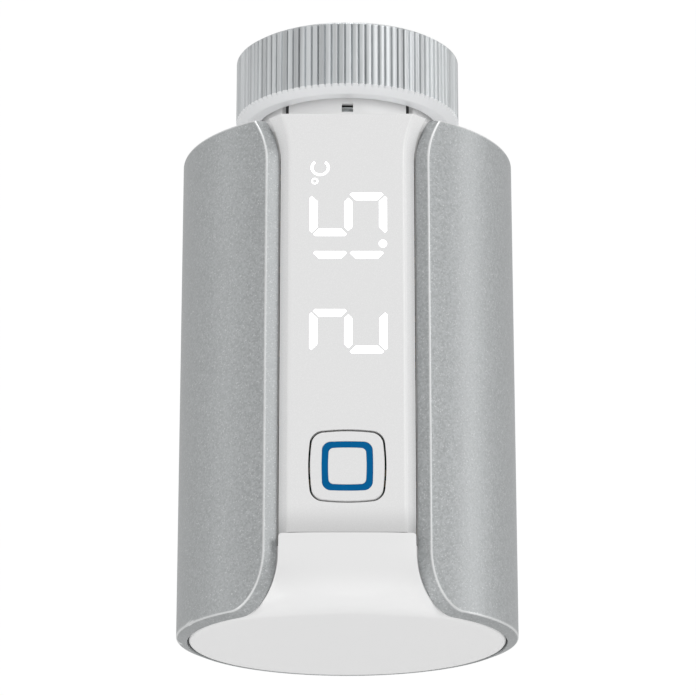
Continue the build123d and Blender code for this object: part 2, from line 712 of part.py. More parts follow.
SINGLE = [outer_sleeve, display_panel, battery_cover, front_housing, rear_housing, top_cap,
          union_nut, mounting_collar, push_plunger, spindle_gear, gear_1, gear_2, motor_pinion,
          motor_shaft, motor, gear_frame_upper, gear_frame_lower, thrust_washer, battery_tray,
          cover_bridge_contact, cover_contact_spring, top_contact_plus, top_contact_minus,
          top_contact_spring, display_module, system_button, button_light_ring, tact_switch,
          switch_plunger, main_board, controller_chip, radio_module, antenna, temperature_sensor,
          board_capacitor]
GROUPS = [housing_screws, collar_screws, frame_screws, board_screws, gear_axles, motor_contacts,
          segment_lights]

os.makedirs("parts", exist_ok=True)
for make in SINGLE:
    save(make.__name__, make())
for make in GROUPS:
    save_group(make.__name__, make())
save("battery_left", battery(-CELL_X, True))
save("battery_right", battery(CELL_X, False))
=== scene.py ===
"""Radiator thermostat head: finished look built around its CAD frame."""

import math

import bmesh
import bpy
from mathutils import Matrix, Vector


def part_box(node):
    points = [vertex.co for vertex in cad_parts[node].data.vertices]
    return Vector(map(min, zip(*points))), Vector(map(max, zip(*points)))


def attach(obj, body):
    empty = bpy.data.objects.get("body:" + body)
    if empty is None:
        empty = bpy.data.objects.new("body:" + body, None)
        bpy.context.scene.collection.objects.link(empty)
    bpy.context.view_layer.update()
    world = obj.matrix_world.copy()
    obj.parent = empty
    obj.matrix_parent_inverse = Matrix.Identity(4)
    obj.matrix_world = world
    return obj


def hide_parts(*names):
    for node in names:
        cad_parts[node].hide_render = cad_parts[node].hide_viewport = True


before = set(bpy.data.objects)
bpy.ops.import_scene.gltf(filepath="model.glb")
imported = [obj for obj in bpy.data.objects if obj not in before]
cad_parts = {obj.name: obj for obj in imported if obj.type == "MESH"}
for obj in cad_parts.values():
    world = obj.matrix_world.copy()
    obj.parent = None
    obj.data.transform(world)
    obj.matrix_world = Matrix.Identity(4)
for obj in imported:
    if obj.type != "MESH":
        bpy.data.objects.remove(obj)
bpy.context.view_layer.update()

bl_info = {
    "name": "Radiator Thermostat Head",
    "version": (1, 0, 0),
    "blender": (4, 5, 0),
    "location": "View3D > Sidebar > Thermostat",
    "description": "Builds the detailed pieces and finishes of a radiator thermostat head",
    "category": "Add Mesh",
}

MM = 0.001
SLEEVE_LOW, SLEEVE_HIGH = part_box("outer_sleeve")
PANEL_LOW, PANEL_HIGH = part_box("display_panel")
COVER_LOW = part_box("battery_cover")[0]
BUTTON_LOW, BUTTON_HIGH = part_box("system_button")
NUT_LOW, NUT_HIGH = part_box("union_nut")
SLEEVE_R = SLEEVE_HIGH.y
RIM_DROP = 0.7 * MM                     # the sleeve's bore reaches this far below its skin
COLLAR_BORE = 13.2 * MM
BASE = SLEEVE_LOW.z + RIM_DROP          # lower edge of the sleeve's skin
TOP = SLEEVE_HIGH.z
FRONT = PANEL_LOW.y + 0.02 * MM         # face of the panel, a hair behind that of the frame
STRIP_HALF = PANEL_HIGH.x
SPLIT = PANEL_LOW.z                     # parting line between panel and cover
BUTTON_Z = (BUTTON_LOW.z + BUTTON_HIGH.z) / 2


# ------------------------------------------------------------------ settings

class ThermostatShape(bpy.types.PropertyGroup):
    """Sizes of the pieces that are drawn here and not taken from the frame."""

    wall: bpy.props.FloatProperty(name="Sleeve wall", description="Thickness of the metal sleeve",
                                  default=1.7 * MM, unit="LENGTH", precision=5)
    slot_outer: bpy.props.FloatProperty(name="Slot at the skin",
                                        description="Half width of the front slot outside",
                                        default=12.5 * MM, unit="LENGTH", precision=5)
    slot_inner: bpy.props.FloatProperty(name="Slot at the bore",
                                        description="Half width of the front slot inside",
                                        default=10.5 * MM, unit="LENGTH", precision=5)
    flare_width: bpy.props.FloatProperty(name="Flare width",
                                         description="Width of the slot's run into the rim",
                                         default=6.2 * MM, unit="LENGTH", precision=5)
    flare_height: bpy.props.FloatProperty(name="Flare height",
                                          description="Height of the slot's run into the rim",
                                          default=9.0 * MM, unit="LENGTH", precision=5)
    nut_teeth: bpy.props.IntProperty(name="Knurls", description="Number of ribs round the union nut",
                                     default=105, min=12)
    knurl_depth: bpy.props.FloatProperty(name="Knurl depth", description="Depth of the grooves between ribs",
                                         default=0.42 * MM, unit="LENGTH", precision=5)
    thread_pitch: bpy.props.FloatProperty(name="Thread pitch", description="Pitch of the nut's inside thread",
                                          default=1.5 * MM, unit="LENGTH", precision=5)
    thread_depth: bpy.props.FloatProperty(name="Thread depth", description="Depth of the nut's inside thread",
                                          default=0.8 * MM, unit="LENGTH", precision=5)
    digit_height: bpy.props.FloatProperty(name="Digit height", description="Height of the lit digits",
                                          default=11.8 * MM, unit="LENGTH", precision=5)
    digit_stroke: bpy.props.FloatProperty(name="Digit stroke", description="Width of a lit bar",
                                          default=1.18 * MM, unit="LENGTH", precision=5)


class ThermostatColours(bpy.types.PropertyGroup):
    """Colours of the finishes."""

    lacquer: bpy.props.FloatVectorProperty(name="Sleeve lacquer", description="Silver lacquer of the sleeve",
                                           default=(0.44, 0.455, 0.46), subtype="COLOR", min=0, max=1)
    white: bpy.props.FloatVectorProperty(name="White plastic", description="Gloss white of panel and cover",
                                         default=(0.80, 0.80, 0.80), subtype="COLOR", min=0, max=1)
    blue: bpy.props.FloatVectorProperty(name="Button ring", description="Blue of the light ring",
                                        default=(0.0, 0.108, 0.29), subtype="COLOR", min=0, max=1)
    nut: bpy.props.FloatVectorProperty(name="Nut metal", description="Plated metal of the union nut",
                                       default=(0.62, 0.64, 0.65), subtype="COLOR", min=0, max=1)


class ThermostatStage(bpy.types.PropertyGroup):
    """Camera and light of the studio."""

    distance: bpy.props.FloatProperty(name="Camera distance",
                                      description="Distance in front of the nut's axis",
                                      default=0.4786, unit="LENGTH")
    height: bpy.props.FloatProperty(name="Camera height", description="Height against the nut's mouth",
                                    default=-0.1979, unit="LENGTH")
    tilt: bpy.props.FloatProperty(name="Camera tilt", description="Upward tilt of the camera",
                                  default=math.radians(17.31), subtype="ANGLE")
    lens: bpy.props.FloatProperty(name="Lens", description="Focal length in millimetres", default=162.7)
    ambient: bpy.props.FloatProperty(name="Ambient light",
                                     description="Strength of the even surrounding light",
                                     default=0.69)


# ------------------------------------------------------------------ finishes

class Signal:
    """A shader socket that takes part in Python arithmetic; every operator adds a Math node."""

    def __init__(self, finish, socket):
        self.finish = finish
        self.socket = socket

    def math(self, operation, first, second):
        return self.finish.node("ShaderNodeMath", {"operation": operation}, {0: first, 1: second})

    def __add__(self, other):
        return self.math("ADD", self, other)

    def __radd__(self, other):
        return self.math("ADD", other, self)

    def __mul__(self, other):
        return self.math("MULTIPLY", self, other)

    def __rmul__(self, other):
        return self.math("MULTIPLY", other, self)

    def __gt__(self, other):
        return self.math("GREATER_THAN", self, other)

    def __lt__(self, other):
        return self.math("LESS_THAN", self, other)


class Finish:
    """A procedural material under construction."""

    def __init__(self, name):
        self.material = bpy.data.materials.new(name)
        self.material.use_nodes = True
        self.tree = self.material.node_tree
        self.tree.nodes.clear()
        self.shader = self.tree.nodes.new("ShaderNodeBsdfPrincipled")
        output = self.tree.nodes.new("ShaderNodeOutputMaterial")
        self.tree.links.new(self.shader.outputs[0], output.inputs["Surface"])

    def feed(self, socket, value):
        """Links a signal to a socket, or sets the socket's own value."""
        if isinstance(value, Signal):
            self.tree.links.new(value.socket, socket)
        else:
            socket.default_value = value

    def node(self, kind, settings=None, inputs=None, output=0):
        """Adds a node with its settings first and its sockets second, and gives one output."""
        made = self.tree.nodes.new(kind)
        for key, value in (settings or {}).items():
            if key == "stops":
                self.set_stops(made.color_ramp, value)
            else:
                setattr(made, key, value)
        for key, value in (inputs or {}).items():
            self.feed(made.inputs[key], value)
        return Signal(self, made.outputs[output])

    def set_stops(self, ramp, stops):
        while len(ramp.elements) < len(stops):
            ramp.elements.new(0.5)
        for element, (position, shade) in zip(ramp.elements, stops):
            element.position = position
            element.color = (shade, shade, shade, 1)

    def place(self):
        return self.node("ShaderNodeTexCoord", output="Object")

    def stretched(self, scale):
        """Object coordinates, in metres, stretched by a vector."""
        return self.node("ShaderNodeMapping", None, {"Vector": self.place(), "Scale": scale})

    def noise(self, size, detail=2.0, vector=None):
        """Noise with features about size metres across."""
        return self.node("ShaderNodeTexNoise", None,
                         {"Vector": vector or self.place(), "Scale": 1 / size, "Detail": detail})

    def cells(self, size):
        """A random number for each cell about size metres across."""
        colour = self.node("ShaderNodeTexVoronoi", {"feature": "F1"},
                           {"Vector": self.place(), "Scale": 1 / size}, "Color")
        return self.node("ShaderNodeSeparateColor", None, {0: colour})

    def pads(self, pitch):
        """1 on scattered square pads and 0 between them."""
        style = {"feature": "F1", "distance": "CHEBYCHEV"}
        inputs = {"Vector": self.place(), "Scale": 1 / pitch, "Randomness": 0.35}
        square = self.node("ShaderNodeTexVoronoi", style, inputs, "Distance") < 0.27
        colour = self.node("ShaderNodeTexVoronoi", style, inputs, "Color")
        return square * (self.node("ShaderNodeSeparateColor", None, {0: colour}) > 0.45)

    def height(self):
        """Height above the nut's mouth, in metres."""
        return self.node("ShaderNodeSeparateXYZ", None, {0: self.place()}, "Z")

    def arris(self, start, full):
        """0 on open faces, rising to 1 along convex edges."""
        sharpness = self.node("ShaderNodeNewGeometry", output="Pointiness")
        return self.ramp(sharpness, ((start, 0.0), (full, 1.0)))

    def radius(self):
        """Distance from the upright axis, in metres."""
        flat = self.node("ShaderNodeVectorMath", {"operation": "MULTIPLY"}, {0: self.place(), 1: (1, 1, 0)})
        return self.node("ShaderNodeVectorMath", {"operation": "LENGTH"}, {0: flat}, "Value")

    def ramp(self, signal, stops):
        return self.node("ShaderNodeValToRGB", {"stops": stops}, {0: signal})

    def blend(self, factor, first, second):
        """Colour between two colours."""
        return self.node("ShaderNodeMix", {"data_type": "RGBA"}, {0: factor, 6: first, 7: second}, 2)

    def bump(self, height, strength, distance):
        return self.node("ShaderNodeBump", None,
                         {"Height": height, "Strength": strength, "Distance": distance})

    def set(self, **sockets):
        """Sets the shader's sockets by name, with underscores for spaces."""
        for key, value in sockets.items():
            self.feed(self.shader.inputs[key.replace("_", " ")], value)
        return self.material


def opaque(colour, gain=1.0):
    return (colour[0] * gain, colour[1] * gain, colour[2] * gain, 1.0)


def settings():
    scene = bpy.context.scene
    return scene.thermostat_shape, scene.thermostat_colours, scene.thermostat_stage


def lacquer_finish():
    """Silver lacquer with fine metal flakes, and a painted highlight along the convex edges of its skin."""
    colour = settings()[1].lacquer
    finish = Finish("silver_lacquer")
    flake = finish.cells(0.24 * MM)
    fleck = finish.cells(0.15 * MM)
    cloud = finish.noise(9 * MM)
    shade = finish.blend(flake, opaque(colour, 0.84), opaque(colour, 1.13))
    shade = finish.blend(0.14 * cloud, shade, opaque(colour, 0.8))
    shade = finish.blend(0.3 * (fleck > 0.96), shade, (0.9, 0.91, 0.91, 1))
    # Painted highlight: convex edges on the outer skin are blended towards near-white, standing in for thin
    # edge highlights.
    outside = finish.radius() > SLEEVE_R - 0.8 * MM
    shade = finish.blend(0.8 * finish.arris(0.507, 0.52) * outside, shade, (0.86, 0.87, 0.87, 1))
    return finish.set(Base_Color=shade, Metallic=0.72, Roughness=0.36 + 0.16 * flake,
                      Normal=finish.bump(flake + 0.6 * finish.noise(0.5 * MM), 0.09, 0.03 * MM))


def moulded_white(finish, tone, roughness):
    """Sets the sockets of smooth white plastic with a very light grain."""
    grain = finish.noise(0.12 * MM)
    return finish.set(Base_Color=tone, Roughness=roughness + 0.06 * grain, Coat_Weight=0.15,
                      Normal=finish.bump(grain, 0.03, 0.01 * MM))


def white_finish(name, roughness, shade=1.0):
    """Moulded white, the same all over."""
    colour = settings()[1].white
    finish = Finish(name)
    cloud = finish.noise(14 * MM)
    tone = finish.blend(cloud, opaque(colour, shade * 0.985), opaque(colour, shade * 1.01))
    return moulded_white(finish, tone, roughness)


def graded_white(name, start, reach, low, high, cloud, roughness):
    """Moulded white with one gain at the start level and another from reach above it, lightly clouded; the
    change of gain with height is painted light and shade.
    """
    colour = settings()[1].white
    finish = Finish(name)
    rise = finish.node("ShaderNodeMapRange", {"interpolation_type": "SMOOTHSTEP"},
                       {"Value": finish.height(), "From Min": start, "From Max": start + reach})
    tone = finish.blend(rise, opaque(colour, low), opaque(colour, high))
    tone = finish.blend(0.03 * finish.noise(14 * MM), tone, opaque(colour, cloud))
    return moulded_white(finish, tone, roughness)


def cover_finish():
    """White of the battery cover with painted light: lighter than the panel's white, and palest on its end
    face.
    """
    # Painted light: gains above 1 make up for the little light that reaches the cover, most of all its end
    # face.
    return graded_white("cover_white", BASE, 6 * MM, low=1.19, high=1.04, cloud=0.9, roughness=0.3)


def panel_finish():
    """White of the display panel, with painted shade that darkens it towards the parting line."""
    # Painted shade: the gain drops from 1.0 to 0.78 over the last 4.5 mm above the parting line.
    return graded_white("panel_white", SPLIT, 4.5 * MM, low=0.78, high=1.0, cloud=0.8, roughness=0.24)


def collar_finish():
    """Satin white collar, painted lighter than the other whites as painted light against the shade under the
    nut, with its bore painted near-black as painted shade.
    """
    colour = settings()[1].white
    finish = Finish("collar_white")
    grain = finish.noise(0.25 * MM)
    # Painted shade: inside the bore radius the collar is near-black; painted light: elsewhere the white is
    # raised by a gain of 1.16.
    outside = finish.radius() > COLLAR_BORE
    tone = finish.blend(outside, (0.03, 0.03, 0.032, 1), opaque(colour, 1.16))
    tone = finish.blend(0.05 * grain, tone, opaque(colour, 0.8))
    return finish.set(Base_Color=tone, Roughness=0.36 + 0.06 * grain,
                      Normal=finish.bump(grain, 0.04, 0.01 * MM))


def blue_finish():
    """Translucent blue light guide."""
    colour = settings()[1].blue
    finish = Finish("ring_blue")
    cloud = finish.noise(1.5 * MM)
    tone = finish.blend(cloud, opaque(colour, 0.9), opaque(colour, 1.1))
    return finish.set(Base_Color=tone, Roughness=0.4 + 0.05 * cloud, Specular_IOR_Level=0.05,
                      Emission_Color=tone, Emission_Strength=0.05)


def glow_finish():
    """Lit diffuser of the digits."""
    finish = Finish("digit_glow")
    grain = finish.noise(0.4 * MM)
    tone = finish.blend(grain, (0.96, 0.98, 1.0, 1), (1.0, 1.0, 1.0, 1))
    return finish.set(Base_Color=tone, Roughness=0.4 + 0.1 * grain, Emission_Color=tone,
                      Emission_Strength=1.2)


def nut_finish():
    """Satin plated metal with fine lines along the ribs, and painted light on the lower chamfer."""
    colour = settings()[1].nut
    finish = Finish("plated_metal")
    lines = finish.noise(1.0, 3, finish.stretched((9000, 9000, 500)))
    streak = finish.ramp(finish.noise(1.0, 2, finish.stretched((850, 850, 12))), ((0.36, 0.0), (0.62, 1.0)))
    tone = finish.blend(streak, opaque(colour, 0.72), opaque(colour, 1.14))
    tone = finish.blend(0.25 * lines, tone, opaque(colour, 1.5))
    # Painted light: below the ribs the chamfer is painted near-white and made less metallic, standing in for
    # light from below.
    ribbed = finish.height() > NUT_LOW.z + 1.25 * MM
    tone = finish.blend(ribbed, (0.9, 0.91, 0.92, 1), tone)
    return finish.set(Base_Color=tone, Metallic=0.25 + 0.6 * ribbed, Roughness=0.34 + 0.18 * lines,
                      Normal=finish.bump(lines, 0.12, 0.02 * MM))


def plastic_finish(name, colour, roughness):
    """Plain moulding with light spark-eroded grain."""
    finish = Finish(name)
    grain = finish.noise(0.25 * MM, 4)
    cloud = finish.noise(6 * MM)
    tone = finish.blend(cloud, opaque(colour, 0.93), opaque(colour, 1.05))
    return finish.set(Base_Color=tone, Roughness=roughness + 0.1 * grain,
                      Normal=finish.bump(grain, 0.12, 0.02 * MM))


def metal_finish(name, colour, roughness):
    """Bare or plated metal with drawn lines and a little tarnish."""
    finish = Finish(name)
    lines = finish.noise(1.0, 3, finish.stretched((4000, 4000, 700)))
    cloud = finish.noise(2.5 * MM)
    tone = finish.blend(cloud, opaque(colour, 0.85), opaque(colour, 1.08))
    return finish.set(Base_Color=tone, Metallic=1.0, Roughness=roughness + 0.14 * lines,
                      Normal=finish.bump(lines, 0.1, 0.01 * MM))


def board_finish():
    """Solder mask over copper tracks, with a few gold pads."""
    finish = Finish("solder_mask")
    tracks = finish.node("ShaderNodeTexBrick", {"offset": 0.5},
                         {"Vector": finish.place(), "Scale": 140.0, "Mortar Size": 0.03}, "Fac")
    pads = finish.pads(1.9 * MM)
    tone = finish.blend(tracks, (0.012, 0.12, 0.055, 1), (0.02, 0.2, 0.09, 1))
    tone = finish.blend(pads, tone, (0.75, 0.6, 0.3, 1))
    return finish.set(Base_Color=tone, Metallic=0.8 * pads, Roughness=0.35 + 0.1 * finish.noise(0.3 * MM))


def cell_finish():
    """Battery jacket: dark blue with a pale band near its upper end."""
    low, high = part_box("battery_left")
    finish = Finish("cell_jacket")
    band = finish.height() > low.z + 0.72 * (high.z - low.z)
    scuff = finish.noise(1.2 * MM, 6)
    tone = finish.blend(band, (0.012, 0.035, 0.10, 1), (0.62, 0.64, 0.66, 1))
    tone = finish.blend(0.12 * scuff, tone, (0.4, 0.4, 0.4, 1))
    return finish.set(Base_Color=tone, Roughness=0.26 + 0.12 * scuff, Coat_Weight=0.3)


FINISHES = {
    "lacquer": lacquer_finish,
    "white": lambda: white_finish("gloss_white", 0.24),
    "cover_white": cover_finish,
    "panel_white": panel_finish,
    "collar": collar_finish,
    "satin_white": lambda: white_finish("satin_white", 0.38, 0.98),
    "blue": blue_finish,
    "glow": glow_finish,
    "nut": nut_finish,
    "chassis": lambda: plastic_finish("chassis_grey", (0.62, 0.62, 0.61), 0.45),
    "acetal": lambda: plastic_finish("acetal", (0.78, 0.75, 0.66), 0.35),
    "black": lambda: plastic_finish("epoxy_black", (0.02, 0.02, 0.022), 0.4),
    "brass": lambda: metal_finish("turned_brass", (0.75, 0.53, 0.22), 0.25),
    "steel": lambda: metal_finish("zinc_steel", (0.55, 0.56, 0.58), 0.28),
    "can": lambda: metal_finish("drawn_can", (0.48, 0.49, 0.51), 0.3),
    "nickel": lambda: metal_finish("nickel_strip", (0.68, 0.66, 0.61), 0.22),
    "board": board_finish,
    "cell": cell_finish,
}
MADE = {}


def finish_of(key):
    """The finish of that name, made once."""
    if key not in MADE:
        MADE[key] = FINISHES[key]()
    return MADE[key]


# ------------------------------------------------------------------ mesh tools

def strip_faces(first, second, closed=False):
    """Quads between two rows of vertex numbers."""
    count = len(first)
    steps = range(count if closed else count - 1)
    return [(first[k], first[(k + 1) % count], second[(k + 1) % count], second[k]) for k in steps]


class Shell:
    """Vertices and faces of a piece while it is drawn."""

    def __init__(self):
        self.points = []
        self.faces = []

    def row(self, points):
        start = len(self.points)
        self.points += [Vector(p) for p in points]
        return list(range(start, len(self.points)))

    def skin(self, rows, closed=False):
        """Quads between neighbouring rows."""
        for first, second in zip(rows, rows[1:]):
            self.faces += strip_faces(first, second, closed)

    def mesh(self, name):
        mesh = bpy.data.meshes.new(name)
        mesh.from_pydata([tuple(p) for p in self.points], [], self.faces)
        return mesh

    def piece(self, name, finish, body, slot, replaces=(), mirror=False, crease=35):
        """Makes the object, welds it, smooths it up to the crease angle and ties it to its body."""
        mesh = self.mesh(name)
        work = bmesh.new()
        work.from_mesh(mesh)
        if mirror:
            bmesh.ops.mirror(work, geom=work.verts[:] + work.edges[:] + work.faces[:],
                             axis="X", merge_dist=0.0)
        bmesh.ops.remove_doubles(work, verts=work.verts, dist=0.001 * MM)
        bmesh.ops.dissolve_degenerate(work, edges=work.edges, dist=0.0005 * MM)
        bmesh.ops.recalc_face_normals(work, faces=work.faces)
        work.to_mesh(mesh)
        work.free()
        mesh.materials.append(finish_of(finish))
        obj = add(name, mesh)
        soften(obj, crease)
        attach(obj, body)
        if replaces:
            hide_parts(*replaces)
        return obj


def add(name, data):
    """Puts a mesh, lamp or camera into the scene as an object."""
    obj = bpy.data.objects.new(name, data)
    bpy.context.collection.objects.link(obj)
    return obj


def soften(obj, crease=35):
    obj.data.shade_smooth()
    obj.data.set_sharp_from_angle(angle=math.radians(crease))


def modifier(obj, kind, **values):
    made = obj.modifiers.new(kind.title(), kind)
    for key, value in values.items():
        setattr(made, key, value)
    return made


def round_edges(obj, width, segments=3, angle=40):
    modifier(obj, "BEVEL", width=width, segments=segments, limit_method="ANGLE",
             angle_limit=math.radians(angle), harden_normals=True, miter_outer="MITER_ARC")


def bake(obj, crease=35):
    """Applies the modifiers to the mesh."""
    graph = bpy.context.evaluated_depsgraph_get()
    mesh = bpy.data.meshes.new_from_object(obj.evaluated_get(graph))
    obj.modifiers.clear()
    obj.data = mesh
    soften(obj, crease)


def lerp(a, b, t):
    return a + (b - a) * t


def ease(t):
    """Soft rise from 0 to 1; t is held between the two."""
    t = min(1.0, max(0.0, t))
    return t * t * (3 - 2 * t)


def steps(start, end, count):
    """Evenly spaced numbers with both ends."""
    return [lerp(start, end, k / (count - 1)) for k in range(count)]


def around(radius, angle, z):
    """Point at an angle from the front, positive towards +X."""
    return Vector((radius * math.sin(angle), -radius * math.cos(angle), z))


def ring(radius, z, count, wobble=None):
    return [around(radius + (wobble(k) if wobble else 0), 2 * math.pi * k / count, z) for k in range(count)]


def lathe(name, profile, count, finish, body, slot, replaces, centre, closed=True):
    """Piece turned about an upright axis from (radius, z) points; closed joins the last to the first."""
    shell = Shell()
    move = Vector((centre[0], centre[1], 0))
    rows = [shell.row([p + move for p in ring(radius, z, count)]) for radius, z in profile]
    shell.skin(rows + rows[:1] if closed else rows, closed=True)
    return shell.piece(name, finish, body, slot, replaces)


def corner(a, tip, b, count=4):
    """Rounded corner from a to b around tip, without its two ends."""
    made = []
    for k in range(1, count):
        t = k / count
        made.append(a * (1 - t) ** 2 + tip * (2 * t * (1 - t)) + b * t ** 2)
    return made


# ------------------------------------------------------------------ sleeve

SLOT_OPENING = 7 * MM                   # the slot widens over this last stretch below the top
SLOT_SWELL = 21 * MM                    # the larger, the less the slot widens
RIM_ROUND = 0.3 * MM
SUPPORT = 0.16 * MM                     # distance of a supporting row from a rounded edge


def swell(z, length):
    """Widening of a half width near the top: the square of the rise over a length."""
    return max(0.0, z - TOP + SLOT_OPENING) ** 2 / length


def slot_half(half, z, low):
    """Half width of the slot at a level: straight, with a flare into the rim and a slight one on top."""
    shape = settings()[0]
    rise = (z - low) / shape.flare_height
    if rise >= 1:
        return half + swell(z, SLOT_SWELL)
    return half + shape.flare_width * (1 - math.sqrt(1 - (1 - max(0.0, rise)) ** 2))


def slot_outline(radius, half, low):
    """Cut edge as (angle, z) pairs: down the slot and through the flare, then along the rim to the back."""
    shape = settings()[0]
    levels = [TOP - RIM_ROUND * (1 - math.sin(turn)) for turn in steps(math.pi / 2, 0, 5)]
    levels += steps(TOP - RIM_ROUND - SUPPORT, TOP - SLOT_OPENING, 9)
    levels += steps(TOP - SLOT_OPENING, low + shape.flare_height, 18)[1:]
    levels += [low + shape.flare_height * (1 - math.sin(turn)) for turn in steps(0, math.pi / 2, 26)[1:]]
    side = [(slot_half(half, z, low) / radius, z) for z in levels]
    straight = math.asin(half / radius) - half / radius
    side = [(angle + straight, z) for angle, z in side]
    share = [SUPPORT / (math.pi * radius)] + steps(0, 1, 73)[1:]
    rim = [(lerp(side[-1][0], math.pi, t), low) for t in share]
    return side, rim


class THERMOSTAT_OT_sleeve(bpy.types.Operator):
    """Builds the slotted metal sleeve with its bevelled cut edges"""
    bl_idname = "thermostat.sleeve"
    bl_label = "Outer sleeve"

    SKIN_SOFT = 0.2 * MM
    BORE_SOFT = 0.12 * MM
    EVEN_OUT = 6                        # rows of the flare are even from a sixth of the way to the back

    def execute(self, context):
        shape = settings()[0]
        outer, inner = SLEEVE_R, SLEEVE_R - shape.wall
        outer_edge = slot_outline(outer, shape.slot_outer, BASE)
        inner_edge = slot_outline(inner, shape.slot_inner, BASE - RIM_DROP)
        shell = Shell()
        skin, chains = self.wall(shell, outer, outer_edge, self.SKIN_SOFT)
        bore, inner_chains = self.wall(shell, inner, inner_edge, self.BORE_SOFT)
        bevel = []
        for a, tip, c, inner_tip in zip(chains[0], chains[1], inner_chains[0], inner_chains[1]):
            start, end = Vector(shell.points[a]), Vector(shell.points[c])
            run = (inner_tip - tip).normalized()
            near, far = tip + run * self.SKIN_SOFT, inner_tip - run * self.BORE_SOFT
            middle = corner(start, tip, near) + [near, near + run * SUPPORT, near.lerp(far, 0.5),
                                                 far - run * SUPPORT, far]
            bevel.append([a] + shell.row(middle + corner(far, inner_tip, end, 3)) + [c])
        for first, second in zip(bevel, bevel[1:]):
            shell.faces += strip_faces(first, second)
        shell.faces += strip_faces(skin[0], bore[0])
        shell.faces.append(tuple(bevel[0]))
        self.round_top(shell, (outer + inner) / 2, shape.wall / 2)
        shell.piece("sleeve_shell", "lacquer", "housing", "sleeve_metal", ["outer_sleeve"],
                    mirror=True, crease=30)
        return {"FINISHED"}

    def round_top(self, shell, middle, half):
        """Thins the wall over the last bit below the top rim, so that both its edges are rounded."""
        for point in shell.points:
            rise = point.z - TOP + RIM_ROUND
            if rise > 0:
                inset = RIM_ROUND - math.sqrt(max(0.0, RIM_ROUND ** 2 - rise ** 2))
                reach = math.hypot(point.x, point.y)
                scale = (middle + (reach - middle) * (1 - inset / half)) / reach
                point.x *= scale
                point.y *= scale

    def wall(self, shell, radius, edge, soft):
        """Cylindrical skin whose first column and last row follow the cut edge, set back by soft.

        The rows of the flare even out on their way to the back.
        """
        side, rim = edge
        path = side + rim
        inset = []
        for k, (angle, z) in enumerate(path):
            before, after = path[max(k - 1, 0)], path[min(k + 1, len(path) - 1)]
            run = Vector(((after[0] - before[0]) * radius, after[1] - before[1])).normalized()
            inset.append((min(angle - run.y * soft / radius, math.pi), z + run.x * soft))
        rows = []
        back = [angle for angle, z in inset[len(side) - 1:]]
        share = [(angle - back[0]) / (back[-1] - back[0]) for angle in back]
        bend = [k for k, (angle, z) in enumerate(side) if z <= side[-1][1] + settings()[0].flare_height]
        for k, (angle, z) in enumerate(inset[:len(side)]):
            progress = (k - bend[0]) / (bend[-1] - bend[0])
            even = lerp(inset[bend[0]][1], inset[bend[-1]][1], progress) if progress > 0 else z
            rows.append(shell.row([around(radius, lerp(angle, math.pi, t),
                                          lerp(z, even, min(1.0, self.EVEN_OUT * t))) for t in share]))
        tips = [around(radius, angle, z) for angle, z in path]
        shell.skin(rows)
        chain = [row[0] for row in rows] + rows[-1][1:]
        return rows, (chain, tips)


# ------------------------------------------------------------------ front strip

STRIP_FLAT = 8.35 * MM
STRIP_SWELL = 26 * MM                   # the larger, the less the strip widens
FLAT_SHARE = 0.8                        # share of the widening that the flat takes
SHOULDER = 0.9 * MM
FLANK = math.radians(56)
LOOP_POINTS = 160


def strip_section(widen=0.0):
    """Half section of the front strip as (x, y): flat front, small shoulder and steep flank."""
    flat = STRIP_FLAT + widen * FLAT_SHARE
    made = [(x, FRONT) for x in steps(0, flat, 8)]
    for angle in steps(0, FLANK, 7)[1:]:
        made.append((flat + SHOULDER * math.sin(angle), FRONT + SHOULDER * (1 - math.cos(angle))))
    x, y = made[-1]
    end = STRIP_HALF + widen
    depth = y + (STRIP_HALF + widen * FLAT_SHARE - x) * math.tan(FLANK)
    return made + [(lerp(x, end, t), lerp(y, depth, t)) for t in (0.5, 1.0)]


def square_loop(half_x, half_z, corner_r, bulge, y):
    """Closed loop of points of a bulged square, counted the same way for every size."""
    side_x, side_z = half_x - bulge, half_z - bulge
    made = []
    for k in range(LOOP_POINTS):
        angle = 2 * math.pi * (k + 0.5) / LOOP_POINTS
        dx, dz = math.cos(angle), math.sin(angle)
        reach = min(side_x / max(abs(dx), 1e-9), side_z / max(abs(dz), 1e-9))
        x, z = dx * reach, dz * reach
        in_x, in_z = abs(x) - (side_x - corner_r), abs(z) - (side_z - corner_r)
        if in_x > 0 and in_z > 0:
            turn = math.atan2(in_z, in_x)
            x = math.copysign(side_x - corner_r + corner_r * math.cos(turn), x)
            z = math.copysign(side_z - corner_r + corner_r * math.sin(turn), z)
        swell_x = bulge * (1 - (z / side_z) ** 2) * abs(x) / side_x
        swell_z = bulge * (1 - (x / side_x) ** 2) * abs(z) / side_z
        made.append(Vector((x + math.copysign(swell_x, x), y, BUTTON_Z + z + math.copysign(swell_z, z))))
    return made


def button_loop(margin, y):
    """Outline of the button's opening, drawn in by a margin."""
    return square_loop(5.86 * MM - margin, 5.68 * MM - margin, 1.5 * MM - margin * 0.6, 0.44 * MM, y)


